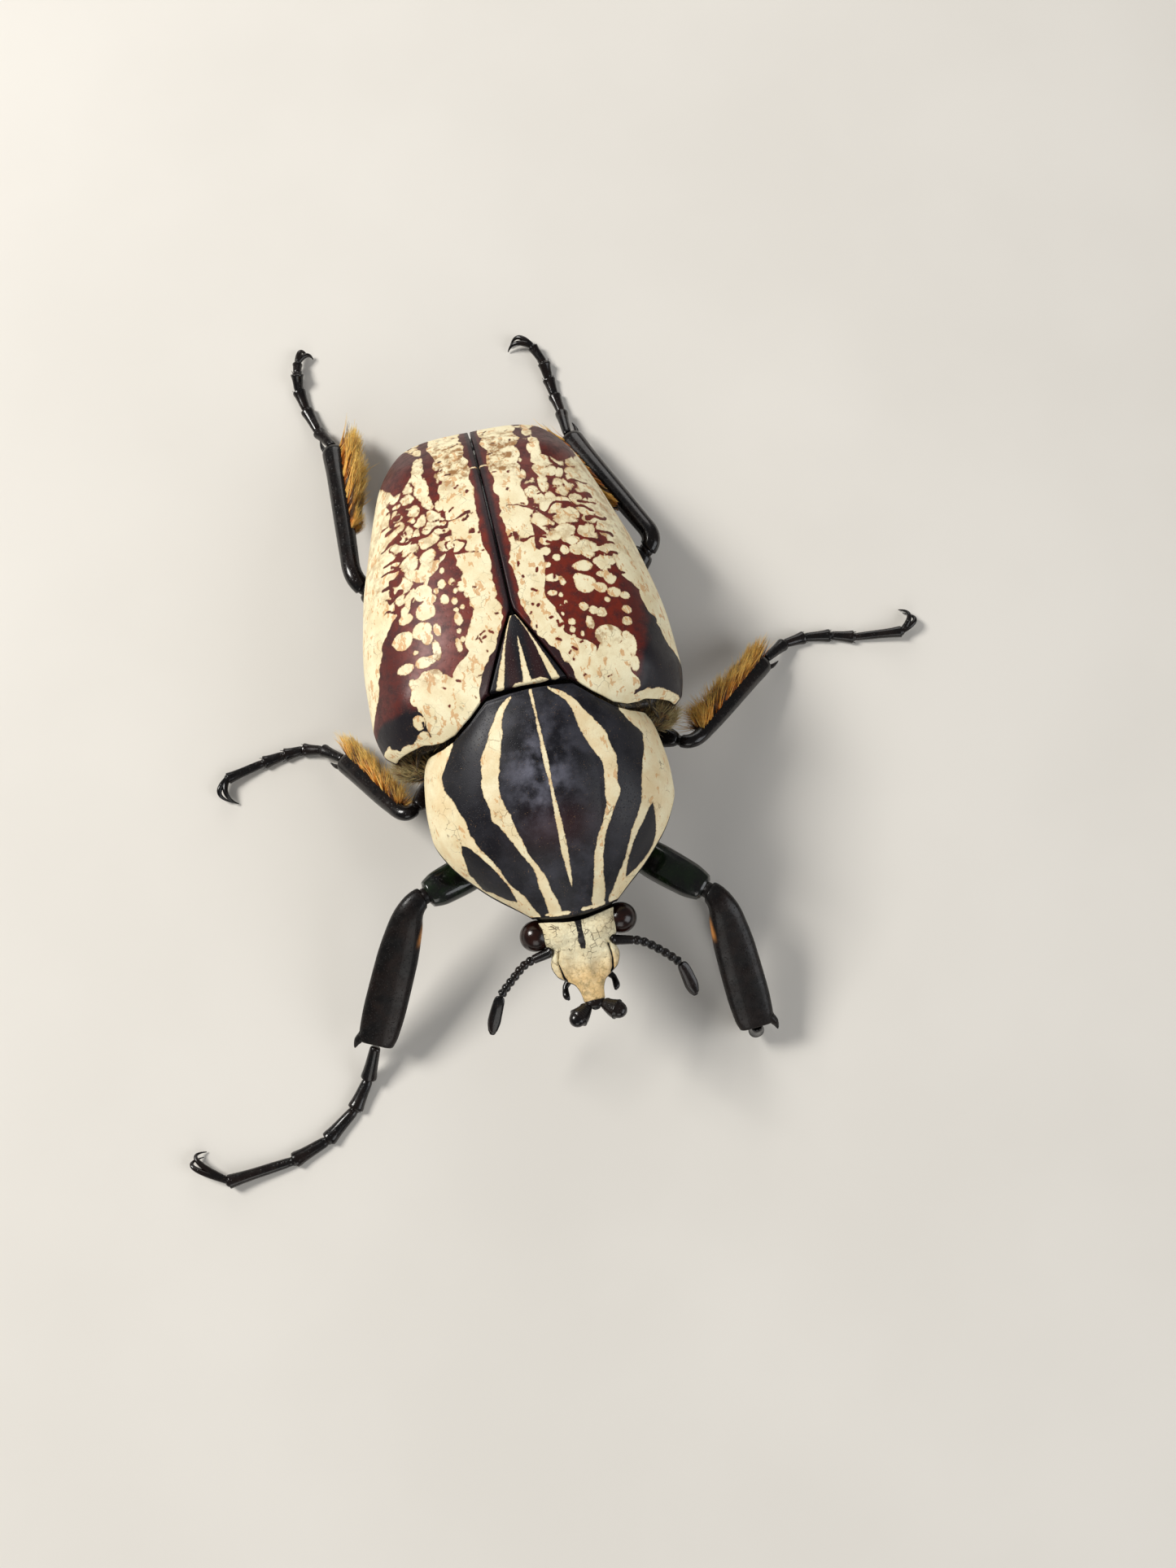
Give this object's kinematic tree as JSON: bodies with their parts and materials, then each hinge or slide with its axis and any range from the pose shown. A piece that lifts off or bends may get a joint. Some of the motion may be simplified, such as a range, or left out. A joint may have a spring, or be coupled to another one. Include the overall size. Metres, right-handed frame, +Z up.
{
  "type": "goliath beetle",
  "caption": "Large horned flower beetle standing with its legs spread, with patterned shell plates, a striped thorax shield and a forked horn.",
  "frame": {"origin": "middle of the beetle's footprint, on the ground it stands on", "axes": "+Z up from the ground; -Y is the way the head points; +X is the beetle's left"},
  "size_m": [0.1246, 0.125, 0.0334],
  "materials": {
    "shell_plate": "smooth chitin, cream with a maroon network, low sheen",
    "pronotum": "velvety black chitin with cream stripes",
    "cuticle": "glossy black chitin, finely pitted",
    "head_crust": "chalky cream crust over black chitin",
    "eye": "glossy dark red-brown facets"
  },
  "bodies": {
    "root": {"pronotum": "pronotum", "prothorax_underside": "cuticle", "elytron_left": "shell_plate", "elytron_right": "shell_plate", "scutellum": "pronotum", "thorax_underside": "cuticle", "abdomen": "cuticle", "pygidium": "cuticle", "head": "head_crust", "horn": "cuticle", "mouthparts": "cuticle", "eye_left": "eye", "eye_right": "eye", "antenna_left": "cuticle", "antenna_right": "cuticle", "coxa_fore_left": "cuticle", "coxa_mid_left": "cuticle", "coxa_hind_left": "cuticle", "coxa_fore_right": "cuticle", "coxa_mid_right": "cuticle", "coxa_hind_right": "cuticle", "femur_fore_left": "cuticle", "femur_mid_left": "cuticle", "femur_hind_left": "cuticle", "femur_fore_right": "cuticle", "femur_mid_right": "cuticle", "femur_hind_right": "cuticle", "tibia_fore_left": "cuticle", "tibia_mid_left": "cuticle", "tibia_hind_left": "cuticle", "tibia_fore_right": "cuticle", "tibia_mid_right": "cuticle", "tibia_hind_right": "cuticle", "tarsus_fore_left": "cuticle", "tarsus_mid_left": "cuticle", "tarsus_hind_left": "cuticle", "tarsus_fore_right": "cuticle", "tarsus_mid_right": "cuticle", "tarsus_hind_right": "cuticle"}
  },
  "joints": []
}
